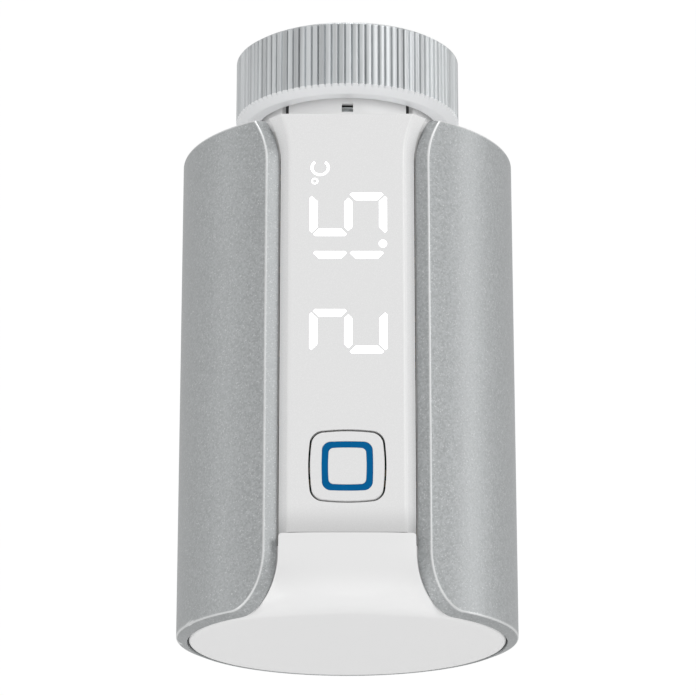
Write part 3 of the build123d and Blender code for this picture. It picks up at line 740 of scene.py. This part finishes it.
class THERMOSTAT_OT_panel(bpy.types.Operator):
    """Builds the white display panel with its button opening"""
    bl_idname = "thermostat.panel"
    bl_label = "Display panel"

    ROLL = 4 * MM                       # the face sinks in over this stretch above the parting line
    SINK = 0.3 * MM

    def execute(self, context):
        shell = Shell()
        rows = []
        roll = SPLIT + self.ROLL
        levels = steps(SPLIT, roll, 9) + steps(roll, TOP - SLOT_OPENING, 22)[1:]
        for z in levels + steps(TOP - SLOT_OPENING, TOP, 7)[1:]:
            half = strip_section(swell(z, STRIP_SWELL))
            sink = self.SINK * (max(0.0, roll - z) / self.ROLL) ** 2
            line = [(-x, y) for x, y in reversed(half[1:])] + half
            rows.append(shell.row([(x, y + sink, z) for x, y in line]))
        shell.skin(rows)
        obj = shell.piece("front_panel", "panel_white", "housing", "white_gloss", ["display_panel"])
        modifier(obj, "SOLIDIFY", thickness=1.4 * MM, offset=self.inward(obj))
        cutter = self.cutter()
        modifier(obj, "BOOLEAN", operation="DIFFERENCE", solver="EXACT", object=cutter)
        bake(obj)
        bpy.data.objects.remove(cutter)
        round_edges(obj, 0.14 * MM, angle=50)
        return {"FINISHED"}

    def inward(self, obj):
        """Solidify offset that thickens away from the front."""
        front = max(obj.data.polygons, key=lambda face: -face.center.y)
        return -1 if front.normal.y < 0 else 1

    def cutter(self):
        """Block that cuts the button's opening."""
        shell = Shell()
        loops = [button_loop(0.0, y) for y in (FRONT - 2 * MM, FRONT + 4 * MM)]
        rows = [shell.row(loop) for loop in loops]
        shell.skin(rows, closed=True)
        shell.faces += [tuple(rows[0]), tuple(reversed(rows[1]))]
        return add("opening_cutter", shell.mesh("opening_cutter"))


class THERMOSTAT_OT_button(bpy.types.Operator):
    """Builds the square button and the blue light ring set into it"""
    bl_idname = "thermostat.button"
    bl_label = "Button"

    def execute(self, context):
        groove = FRONT + 0.35 * MM
        back = BUTTON_LOW.y + 1.5 * MM
        cap = [button_loop(margin * MM, y) for margin, y in (
            (0.26, back), (0.26, FRONT + 0.2 * MM), (0.3, FRONT + 0.07 * MM), (0.38, FRONT + 0.01 * MM),
            (0.5, FRONT))]
        cap += [self.ring_loop(half, corner_r, y) for half, corner_r, y in (
            (3.9, 1.25, FRONT), (3.86, 1.22, FRONT + 0.04 * MM), (3.86, 1.22, groove),
            (2.88, 0.62, groove), (2.88, 0.62, FRONT + 0.04 * MM), (2.84, 0.6, FRONT), (1.2, 0.4, FRONT))]
        self.loft("button_cap", cap, "white", "white_gloss", ["system_button"])
        face = FRONT + 0.05 * MM
        ring_loops = [self.ring_loop(half, corner_r, y) for half, corner_r, y in (
            (3.84, 1.2, groove), (3.84, 1.2, face + 0.04 * MM), (3.8, 1.17, face),
            (2.94, 0.66, face), (2.9, 0.64, face + 0.04 * MM), (2.9, 0.64, groove))]
        self.loft("light_ring", ring_loops, "blue", "signal_blue", ["button_light_ring"], annular=True)
        return {"FINISHED"}

    def ring_loop(self, half, corner_r, y):
        return square_loop(half * MM, half * 0.99 * MM, corner_r * MM, 0.12 * MM, y)

    def loft(self, name, loops, finish, slot, nodes, annular=False):
        shell = Shell()
        rows = [shell.row(loop) for loop in loops]
        shell.skin(rows + rows[:1] if annular else rows, closed=True)
        if not annular:
            shell.faces += [tuple(rows[-1]), tuple(reversed(rows[0]))]
        return shell.piece(name, finish, "button", slot, nodes, crease=30)


# ------------------------------------------------------------------ lit digits

class THERMOSTAT_OT_digits(bpy.types.Operator):
    """Builds the lit digits, decimal point and unit sign on the panel"""
    bl_idname = "thermostat.digits"
    bl_label = "Lit digits"

    SHAPES = {"5": "afgcd", "1": "bc", "2": "abged"}
    PLACES = (("2", 42.3 * MM), ("1", 51.6 * MM), ("5", 61.08 * MM))
    MIDDLE = 0.15 * MM
    HALF_WIDTH = 3.5 * MM
    GAP = 0.24 * MM
    LEAN = 0.25                         # sideways shift of a bar's points, as a share of the stroke
    FACE = FRONT - 0.012 * MM
    BACK = FRONT + 0.3 * MM

    def execute(self, context):
        shape = settings()[0]
        self.stroke = shape.digit_stroke
        self.top = self.MIDDLE - shape.digit_height / 2
        self.foot = self.MIDDLE + shape.digit_height / 2
        shell = Shell()
        for glyph, centre in self.PLACES:
            for bar in self.SHAPES[glyph]:
                self.plate(shell, self.bar(bar, BASE + centre))
        self.plate(shell, self.arc(5.43 * MM, BASE + 56.33 * MM, 0.62 * MM, 0.62 * MM, 0, 360))
        self.loop(shell, -4.99 * MM, BASE + 66.5 * MM, 0.5 * MM, 0.5 * MM, 0.17 * MM, 0, 360)
        self.loop(shell, -4.19 * MM, BASE + 68.7 * MM, 1.44 * MM, 1.34 * MM, 0.36 * MM, 130, 410)
        shell.piece("lit_digits", "glow", "housing", "display_light", ["segment_lights"])
        return {"FINISHED"}

    def bar(self, bar, centre):
        """Outline of one bar; the digits read upwards, so their tops point to -X."""
        s, gap = self.stroke, self.GAP
        low, high = centre - self.HALF_WIDTH, centre + self.HALF_WIDTH
        if bar in "adg":
            x = {"a": self.top + s / 2, "d": self.foot - s / 2, "g": self.MIDDLE}[bar]
            lean = {"a": -self.LEAN, "d": self.LEAN, "g": 0}[bar] * s
            ends = (low + s / 2 - abs(lean) + gap, high - s / 2 + abs(lean) - gap)
            return self.hexagon((x, 0), ends, lean, along_z=True)
        z = high - s / 2 if bar in "bc" else low + s / 2
        lean = (self.LEAN if bar in "bc" else -self.LEAN) * s
        span = (self.top, self.MIDDLE) if bar in "bf" else (self.MIDDLE, self.foot)
        outer = s / 2 - abs(lean) + gap
        ends = (span[0] + outer, span[1] - gap) if bar in "bf" else (span[0] + gap, span[1] - outer)
        return self.hexagon((0, z), ends, lean, along_z=False)

    def hexagon(self, centre, ends, lean, along_z):
        """Six-sided bar whose points are shifted sideways by lean."""
        s = self.stroke / 2
        near, far = s - lean, s + lean
        shape = [(ends[0], lean), (ends[0] + near, s), (ends[1] - near, s), (ends[1], lean),
                 (ends[1] - far, -s), (ends[0] + far, -s)]
        if along_z:
            return [(centre[0] + side, run) for run, side in shape]
        return [(run, centre[1] + side) for run, side in shape]

    def arc(self, x, z, half_x, half_z, start, end):
        """Points along an oval between two angles, in degrees."""
        angles = [math.radians(a) for a in steps(start, end, 28)]
        points = [(x + half_x * math.cos(a), z + half_z * math.sin(a)) for a in angles]
        return points[:-1] if end - start == 360 else points

    def plate(self, shell, outline):
        """Lit plate with an outline of (x, z) points."""
        rows = [shell.row([(x, y, z) for x, z in outline]) for y in (self.FACE, self.BACK)]
        shell.skin(rows, closed=True)
        shell.faces += [tuple(reversed(rows[0])), tuple(rows[1])]

    def loop(self, shell, x, z, half_x, half_z, width, start, end):
        """Ring or open ring of one width."""
        outer = self.arc(x, z, half_x, half_z, start, end)
        inner = self.arc(x, z, half_x - width, half_z - width, start, end)
        lines = ((outer, self.FACE), (inner, self.FACE), (inner, self.BACK), (outer, self.BACK))
        rows = [shell.row([(px, y, pz) for px, pz in points]) for points, y in lines]
        whole = end - start == 360
        shell.skin(rows + rows[:1], closed=whole)
        if not whole:
            shell.faces += [tuple(row[0] for row in rows), tuple(row[-1] for row in reversed(rows))]


# ------------------------------------------------------------------ battery cover

class THERMOSTAT_OT_cover(bpy.types.Operator):
    """Builds the pull-off battery cover with its front tongue"""
    bl_idname = "thermostat.cover"
    bl_label = "Battery cover"

    GAP = 0.24 * MM
    WALL = 1.1 * MM
    SKIRT = 9.54 * MM
    FLOOR = 1.8 * MM
    FRONT_BEND = 3.4 * MM
    BACK_BEND = 0.6 * MM
    TONGUE_ROUND = 0.45 * MM
    FRONT_COLUMNS = 14
    ROUND_COLUMNS = 64
    CHEEK = -22.2 * MM                  # the inside of the tongue's sides stays behind this depth
    ARM = ((20.8, 0.6), (22.3, 0.6), (22.3, 11.0), (22.75, 11.7), (22.3, 12.4), (21.6, 13.0), (20.9, 12.6))

    def execute(self, context):
        self.radius = SLEEVE_R - settings()[0].wall - 0.22 * MM
        self.low = COVER_LOW.z
        skirt_top = BASE + self.SKIRT
        bend = [self.low + self.FRONT_BEND * (1 - math.cos(turn)) for turn in steps(0, math.pi / 2, 13)]
        levels = bend + steps(bend[-1], skirt_top, 12)[1:]
        shell = Shell()
        outer = self.floor(shell) + [shell.row(self.line(z)) for z in levels]
        inner = [shell.row(self.line(z, True)) for z in (self.low + self.FLOOR, skirt_top)]
        shell.skin(outer, closed=True)
        shell.skin(inner, closed=True)
        shell.faces.append(tuple(inner[0]))
        total = len(inner[0])
        reach = self.FRONT_COLUMNS - 1
        for k in range(reach, total - reach):
            shell.faces.append((outer[-1][k], outer[-1][(k + 1) % total],
                                inner[-1][(k + 1) % total], inner[-1][k]))
        self.tongue(shell, outer[-1], inner[-1], skirt_top)
        obj = shell.piece("cover_shell", "cover_white", "cover", "white_gloss", ["battery_cover"], crease=40)
        round_edges(obj, 0.16 * MM, angle=52)
        self.arms()
        return {"FINISHED"}

    def tongue(self, shell, outer_rim, inner_rim, skirt_top):
        """Front wall above the skirt, grown from the skirt's front columns."""
        total = len(outer_rim)
        front = list(range(total - self.FRONT_COLUMNS + 1, total)) + list(range(self.FRONT_COLUMNS))
        outer, inner = [[outer_rim[k] for k in front]], [[inner_rim[k] for k in front]]
        top = SPLIT - 0.1 * MM
        bend = self.TONGUE_ROUND
        levels = steps(skirt_top, top - bend, 5)[1:]
        levels += [top - bend * (1 - math.sin(turn)) for turn in steps(0, math.pi / 2, 5)[1:]]
        for z in levels:
            rise = max(0.0, z - top + bend)
            trim = bend - math.sqrt(bend ** 2 - rise ** 2)
            for rows, inside in ((outer, False), (inner, True)):
                line = self.front_half(z, inside, trim)
                whole = [(-x, y) for x, y in reversed(line[1:])] + line
                rows.append(shell.row([(x, y, z) for x, y in whole]))
        shell.skin(outer)
        shell.skin(inner)
        shell.faces += strip_faces(outer[-1], inner[-1])
        for end in (0, -1):
            shell.faces += strip_faces([row[end] for row in outer], [row[end] for row in inner])

    def blend(self, z):
        """How far the front is flat at a level: none at the end face, all of it 8 mm further up."""
        return ease((z - BASE + 0.2 * MM) / (8.0 * MM))

    def edge_x(self, z):
        """Half width of the front wall, just inside the slot's inner edge."""
        return slot_half(settings()[0].slot_inner, max(z, BASE - RIM_DROP), BASE - RIM_DROP) - self.GAP

    def front_half(self, z, inside=False, trim=0.0):
        """Right half of the front wall at a level, as (x, y), narrower by trim; inside is one wall deeper."""
        share = self.blend(z)
        end = min(self.edge_x(z), self.radius * math.sin(math.radians(40))) - trim
        made = []
        for x in steps(0, end, self.FRONT_COLUMNS):
            flat = FRONT + 0.5 * MM * (x / STRIP_HALF) ** 4
            bow = -math.sqrt(self.radius ** 2 - x * x)
            y = min(lerp(bow, flat, share), bow)
            made.append((x * (1 - self.WALL / end), y + self.WALL) if inside else (x, y))
        if inside:
            x, y = made[-1]
            made[-1] = (x, max(y, self.CHEEK))
        return made

    def line(self, z, inside=False):
        """Closed line at a level: the front wall, a step, and the round skirt."""
        front = self.front_half(z, inside)
        radius = self.radius - self.WALL if inside else self.radius
        start = math.asin(min(front[-1][0] + 0.02 * MM, radius) / radius)
        skirt = [around(radius, angle, 0) for angle in steps(start, math.pi, self.ROUND_COLUMNS)]
        half = front + [(p.x, p.y) for p in skirt]
        line = half + [(-x, y) for x, y in reversed(half[1:-1])]
        return [Vector((x, y, z)) if inside else self.drawn_in(x, y, z) for x, y in line]

    def drawn_in(self, x, y, z):
        """Moves a point in by the rounding of the bottom edge, which is larger at the front."""
        angle = abs(math.atan2(x, -y))
        share = ease((angle - math.radians(18)) / math.radians(30))
        bend = lerp(self.FRONT_BEND, self.BACK_BEND, share)
        rise = min(z - self.low, bend)
        inset = bend - math.sqrt(max(0.0, bend ** 2 - (bend - rise) ** 2))
        reach = math.hypot(x, y)
        return Vector((x * (1 - inset / reach), y * (1 - inset / reach), z))

    def floor(self, shell):
        """End face: a fan of rings that run out to the rounded edge."""
        rim = self.line(self.low)
        rows = [shell.row([Vector((p.x * share, p.y * share, self.low)) for p in rim])
                for share in (0.02, 0.25, 0.5, 0.75, 0.95)]
        shell.faces.append(tuple(rows[0]))
        return rows

    def arms(self):
        """Two snap arms with rounded beads that hold the cover in the housing."""
        shell = Shell()
        for side in (-1, 1):
            rows = [shell.row([(side * x * MM, y, BASE + z * MM) for x, z in self.ARM])
                    for y in steps(-2.5 * MM, 2.5 * MM, 4)]
            shell.skin(rows, closed=True)
            shell.faces += [tuple(rows[0]), tuple(reversed(rows[-1]))]
        obj = shell.piece("cover_snap_arms", "cover_white", "cover", "white_gloss")
        round_edges(obj, 0.15 * MM)


# ------------------------------------------------------------------ union nut

class THERMOSTAT_OT_nut(bpy.types.Operator):
    """Builds the knurled union nut with its inside thread"""
    bl_idname = "thermostat.nut"
    bl_label = "Union nut"

    RIB = (0.0, 0.0, 0.0, 0.12, 1.0, 0.12)  # depth across one rib and its groove
    MOUTH = ((15.2, 0.0), (17.1, 0.0), (17.45, 0.06), (17.62, 0.2), (17.7, 0.42))
    RIB_START = ((0.5, 0.0), (0.62, 0.7), (0.85, 1.0))
    CHAMFER = ((0.0, 1.2), (0.35, 0.9), (0.7, 0.62), (1.05, 0.32), (1.35, 0.08))
    LIP = ((16.66, 0.02), (16.5, 0.0), (14.85, 0.0), (14.7, 0.12), (14.7, 1.2), (15.7, 1.25), (15.7, 2.9))
    MINOR_R = 14.19 * MM
    THREAD_LOW = 3.0 * MM               # the thread starts this far above the lower end
    THREAD_ROWS = 67

    def execute(self, context):
        shape = settings()[0]
        self.count = shape.nut_teeth * len(self.RIB)
        self.depth = shape.knurl_depth
        outer = NUT_HIGH.x
        low, high = NUT_LOW.z, NUT_HIGH.z
        shell = Shell()
        rows = [shell.row(ring(radius * MM, high - drop * MM, self.count)) for radius, drop in self.MOUTH]
        rows += [self.ribs(shell, outer, high - drop * MM, share) for drop, share in self.RIB_START]
        rows += [self.ribs(shell, outer, z, 1.0) for z in steps(high - 2 * MM, low + 2.4 * MM, 6)]
        rows += [self.ribs(shell, outer - inset * MM, low + rise * MM, 1.0, outer - self.depth)
                 for inset, rise in self.CHAMFER]
        rows += [shell.row(ring(radius * MM, low + rise * MM, self.count)) for radius, rise in self.LIP]
        rows += self.thread(shell, low + self.THREAD_LOW, high, shape)
        shell.skin(rows + rows[:1], closed=True)
        shell.piece("knurled_nut", "nut", "nut", "nut_metal", ["union_nut"], crease=28)
        return {"FINISHED"}

    def ribs(self, shell, outer, z, share, floor=None):
        """One level of the knurl: flat ribs with narrow grooves, never deeper than floor."""
        bottom = min(outer, floor if floor is not None else outer - self.depth)

        def groove(k):
            return -(outer - bottom) * share * self.RIB[k % len(self.RIB)]

        return shell.row(ring(outer, z, self.count, groove))

    def thread(self, shell, low, high, shape):
        """Inside thread: its crests are at the minor radius, and it fades out at both ends."""
        rows = []
        for z in steps(low, high - 0.1 * MM, self.THREAD_ROWS):
            fade = min(1.0, (z - low) / (1.0 * MM), (high - z) / (1.2 * MM))

            def cut(k, z=z, fade=fade):
                turn = ((z - low) / shape.thread_pitch - k / self.count) % 1
                return shape.thread_depth * max(0.0, min(1.0, 1.25 - 2.5 * abs(turn - 0.5))) * fade

            flare = max(0.0, 1.0 * MM - (high - z))
            rows.append(shell.row(ring(self.MINOR_R + flare, z, self.count, cut)))
        return rows


# ------------------------------------------------------------------ batteries

class THERMOSTAT_OT_batteries(bpy.types.Operator):
    """Builds the two round cells with crimped ends"""
    bl_idname = "thermostat.batteries"
    bl_label = "Batteries"

    def execute(self, context):
        for side, up in (("left", True), ("right", False)):
            low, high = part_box(f"battery_{side}")
            centre = ((low.x + high.x) / 2, (low.y + high.y) / 2)
            radius = (high.x - low.x) / 2
            flat, tip = (low.z, high.z) if up else (high.z, low.z)
            way = 1 if up else -1
            self.cell(side, centre, radius, flat, tip, way)
        return {"FINISHED"}

    def cell(self, side, centre, radius, flat, tip, way):
        """One cell: its jacket, and both its ends as one inner piece."""
        def level(from_flat=0.0, from_tip=None):
            return flat + way * from_flat * MM if from_tip is None else tip - way * from_tip * MM

        jacket = [(radius - 0.9 * MM, level(0.12)), (radius - 0.35 * MM, level(0.05)),
                  (radius - 0.08 * MM, level(0.25)), (radius, level(0.7)), (radius, level(from_tip=2.0)),
                  (radius - 0.1 * MM, level(from_tip=1.5)), (radius - 0.45 * MM, level(from_tip=1.25)),
                  (radius - 1.1 * MM, level(from_tip=1.2)), (radius - 1.1 * MM, level(from_tip=2.4)),
                  (radius - 0.9 * MM, level(1.5))]
        lathe(f"cell_jacket_{side}", jacket, 96, "cell", "housing", "cell_wrap", [f"battery_{side}"], centre)
        ends = [(0.02 * MM, level(0.3)), (radius - 1.6 * MM, level(0.3)), (radius - 1.3 * MM, level(0.0)),
                (radius - 0.95 * MM, level(0.0)), (radius - 0.95 * MM, level(2.0)),
                (radius - 1.15 * MM, level(from_tip=2.6)), (radius - 1.15 * MM, level(from_tip=1.3)),
                (3.2 * MM, level(from_tip=1.45)), (2.9 * MM, level(from_tip=1.1)),
                (2.75 * MM, level(from_tip=0.35)), (2.4 * MM, level(from_tip=0.05)),
                (1.8 * MM, level(from_tip=0.0)), (0.02 * MM, level(from_tip=0.0))]
        lathe(f"cell_ends_{side}", ends, 64, "nickel", "housing", "contact_nickel", (), centre, closed=False)


# ------------------------------------------------------------------ frame parts

NODE_FINISH = {
    "satin_white": ["top_cap"],
    "collar": ["mounting_collar"],
    "chassis": ["front_housing", "rear_housing", "battery_tray", "gear_frame_upper", "gear_frame_lower",
                "switch_plunger"],
    "acetal": ["push_plunger", "spindle_gear", "gear_1", "gear_2"],
    "black": ["display_module", "tact_switch", "controller_chip", "temperature_sensor", "board_capacitor"],
    "brass": ["motor_pinion", "antenna"],
    "steel": ["gear_axles", "motor_shaft", "thrust_washer", "board_screws", "housing_screws",
              "collar_screws", "frame_screws", "radio_module"],
    "can": ["motor"],
    "nickel": ["motor_contacts", "top_contact_plus", "top_contact_minus", "top_contact_spring",
               "cover_bridge_contact", "cover_contact_spring"],
    "board": ["main_board"],
}


class THERMOSTAT_OT_frame_parts(bpy.types.Operator):
    """Gives the listed carried-over parts their finishes, and softened edges to the top cap and collar"""
    bl_idname = "thermostat.frame_parts"
    bl_label = "Frame parts"

    def execute(self, context):
        for finish, names in NODE_FINISH.items():
            for name in names:
                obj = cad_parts[name]
                for slot in obj.material_slots:
                    slot.material = finish_of(finish)
                if not obj.material_slots:
                    obj.data.materials.append(finish_of(finish))
        for name in ("top_cap", "mounting_collar"):
            modifier(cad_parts[name], "BEVEL", width=0.12 * MM, segments=2, limit_method="ANGLE",
                     angle_limit=math.radians(45), harden_normals=True)
        return {"FINISHED"}


# ------------------------------------------------------------------ stage

class THERMOSTAT_OT_stage(bpy.types.Operator):
    """Sets up the pale floor, the soft studio light and the camera"""
    bl_idname = "thermostat.stage"
    bl_label = "Stage"

    ROUND_LAMPS = (("key", (0.55, -0.71, 0.25), 0.35, 1.0),
                   ("low_fill", (0.05, -0.75, -0.42), 0.5, 0.45),
                   ("low_left", (-0.6, -0.5, -0.5), 0.3, 0.7),
                   ("high", (0.0, -0.5, 0.9), 0.4, 2.2))
    STRIP_LAMPS = (("right_strip", (0.9, 0.0, 0.0), 0.14, 1.2, 0.9),
                   ("left_strip", (-0.9, 0.0, 0.1), 0.14, 0.36, 0.8))
    FLOOR_DROP = 0.65

    def execute(self, context):
        stage = settings()[2]
        context.scene.view_settings.view_transform = "Standard"
        self.camera(stage)
        self.world(stage)
        for lamp in self.ROUND_LAMPS + self.STRIP_LAMPS:
            self.light(*lamp)
        self.floor()
        self.dome()
        return {"FINISHED"}

    def camera(self, stage):
        data = bpy.data.cameras.new("studio_camera")
        data.lens = stage.lens
        data.clip_start, data.clip_end = 0.01, 20
        camera = add("studio_camera", data)
        camera.location = (0.1 * MM, -stage.distance, stage.height)
        camera.rotation_euler = (math.pi / 2 + stage.tilt, 0, 0)
        bpy.context.scene.camera = camera

    def world(self, stage):
        world = bpy.data.worlds.new("soft_surround")
        world.use_nodes = True
        background = world.node_tree.nodes["Background"]
        background.inputs["Color"].default_value = (1, 1, 1, 1)
        background.inputs["Strength"].default_value = stage.ambient
        bpy.context.scene.world = world

    def light(self, name, place, width, power, height=None):
        """Area lamp that faces the middle of the sleeve: round, or a strip where it has a height."""
        data = bpy.data.lights.new(name, "AREA")
        data.shape = "RECTANGLE" if height else "DISK"
        data.size, data.energy = width, power
        data.size_y = height or width
        lamp = add(name, data)
        lamp.location = place
        target = Vector((0, 0, (TOP + BASE) / 2))
        lamp.rotation_mode = "QUATERNION"
        lamp.rotation_quaternion = (target - lamp.location).to_track_quat("-Z", "Y")

    def floor(self):
        """Round pale floor below the head."""
        finish = Finish("pale_floor")
        tone = finish.blend(finish.noise(0.08), (0.88, 0.88, 0.88, 1), (0.9, 0.9, 0.9, 1))
        finish.set(Base_Color=tone, Roughness=0.6)
        shell = Shell()
        shell.faces.append(tuple(shell.row(ring(4.0, BASE - self.FLOOR_DROP, 64))))
        mesh = shell.mesh("studio_floor")
        mesh.materials.append(finish.material)
        return add("studio_floor", mesh)

    def dome(self):
        """White surround that only the camera sees."""
        finish = Finish("white_surround")
        finish.set(Base_Color=(0, 0, 0, 1), Roughness=1.0, Emission_Color=(1, 1, 1, 1), Emission_Strength=1.0)
        mesh = bpy.data.meshes.new("white_surround")
        work = bmesh.new()
        bmesh.ops.create_icosphere(work, subdivisions=4, radius=4.2)
        work.to_mesh(mesh)
        work.free()
        mesh.materials.append(finish.material)
        dome = add("white_surround", mesh)
        dome.visible_diffuse = False
        dome.visible_glossy = False
        dome.visible_transmission = False
        dome.visible_shadow = False
        return dome


# ------------------------------------------------------------------ panel and start

PIECES = (THERMOSTAT_OT_sleeve, THERMOSTAT_OT_panel, THERMOSTAT_OT_button, THERMOSTAT_OT_digits,
          THERMOSTAT_OT_cover, THERMOSTAT_OT_nut, THERMOSTAT_OT_batteries, THERMOSTAT_OT_frame_parts,
          THERMOSTAT_OT_stage)


class THERMOSTAT_PT_panel(bpy.types.Panel):
    """Lists the pieces in the 3D view's sidebar"""
    bl_label = "Thermostat head"
    bl_idname = "THERMOSTAT_PT_panel"
    bl_space_type = "VIEW_3D"
    bl_region_type = "UI"
    bl_category = "Thermostat"

    def draw(self, context):
        column = self.layout.column()
        for piece in PIECES:
            column.operator(piece.bl_idname)


CLASSES = (ThermostatShape, ThermostatColours, ThermostatStage) + PIECES + (THERMOSTAT_PT_panel,)


def register():
    for item in CLASSES:
        bpy.utils.register_class(item)
    bpy.types.Scene.thermostat_shape = bpy.props.PointerProperty(type=ThermostatShape)
    bpy.types.Scene.thermostat_colours = bpy.props.PointerProperty(type=ThermostatColours)
    bpy.types.Scene.thermostat_stage = bpy.props.PointerProperty(type=ThermostatStage)


def unregister():
    del bpy.types.Scene.thermostat_stage
    del bpy.types.Scene.thermostat_colours
    del bpy.types.Scene.thermostat_shape
    for item in reversed(CLASSES):
        bpy.utils.unregister_class(item)


def main():
    register()
    for piece in PIECES:
        group, name = piece.bl_idname.split(".")
        getattr(getattr(bpy.ops, group), name)()


if __name__ == "__main__":
    main()
